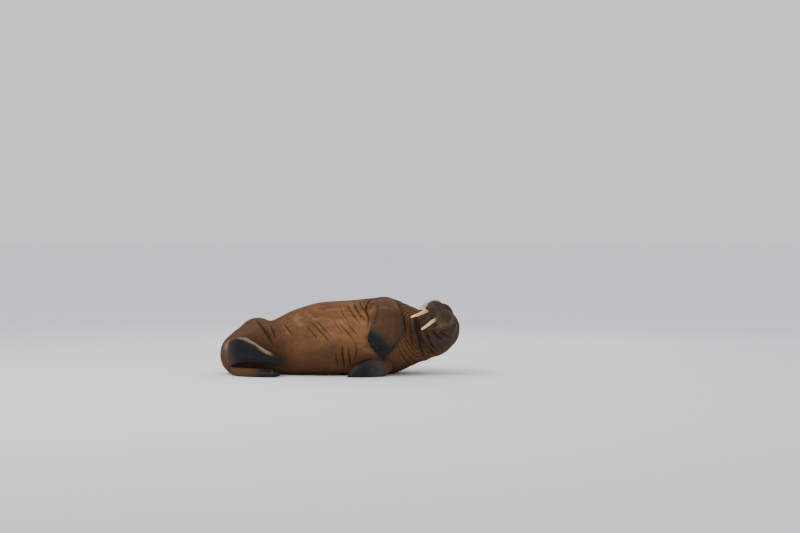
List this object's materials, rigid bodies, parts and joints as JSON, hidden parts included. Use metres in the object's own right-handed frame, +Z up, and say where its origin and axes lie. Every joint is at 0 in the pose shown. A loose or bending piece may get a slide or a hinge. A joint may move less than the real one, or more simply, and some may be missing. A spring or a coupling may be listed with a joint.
{
  "type": "walrus",
  "caption": "Life-size young walrus resting on its left side, belly forward, head flexed to the chest, with tusks, whiskers and folded flippers; a still model.",
  "frame": {"origin": "middle of the bounding box's bottom, on the floor that the animal lies on", "axes": "+X towards the head along the animal's length, -Y the way its belly and flippers face, +Z up"},
  "size_m": [2.1966, 0.8916, 0.7161],
  "materials": {
    "brown_skin": "folded brown hide with short flat hair",
    "bare_sole": "bare wrinkled grey-black hide",
    "tusk_ivory": "smooth cream ivory with fine lengthwise grain",
    "eye": "wet and dark",
    "claw_horn": "worn horn"
  },
  "bodies": {
    "root": {"hips": "brown_skin", "abdomen": "brown_skin", "chest": "brown_skin", "neck": "brown_skin", "head": "brown_skin", "muzzle": "brown_skin", "lower_jaw": "brown_skin", "tail": "brown_skin", "fore_flipper_right": "bare_sole", "fore_flipper_left": "bare_sole", "hind_flipper_right": "bare_sole", "hind_flipper_left": "bare_sole", "tusk_left": "tusk_ivory", "tusk_right": "tusk_ivory", "eye_left": "eye", "eye_right": "eye", "fore_claw_right_1": "claw_horn", "fore_claw_right_2": "claw_horn", "fore_claw_right_3": "claw_horn", "fore_claw_right_4": "claw_horn", "fore_claw_right_5": "claw_horn", "fore_claw_left_1": "claw_horn", "fore_claw_left_2": "claw_horn", "fore_claw_left_3": "claw_horn", "fore_claw_left_4": "claw_horn", "fore_claw_left_5": "claw_horn", "hind_claw_right_1": "claw_horn", "hind_claw_right_2": "claw_horn", "hind_claw_right_3": "claw_horn", "hind_claw_right_4": "claw_horn", "hind_claw_right_5": "claw_horn", "hind_claw_left_1": "claw_horn", "hind_claw_left_2": "claw_horn", "hind_claw_left_3": "claw_horn", "hind_claw_left_4": "claw_horn", "hind_claw_left_5": "claw_horn"}
  },
  "joints": []
}
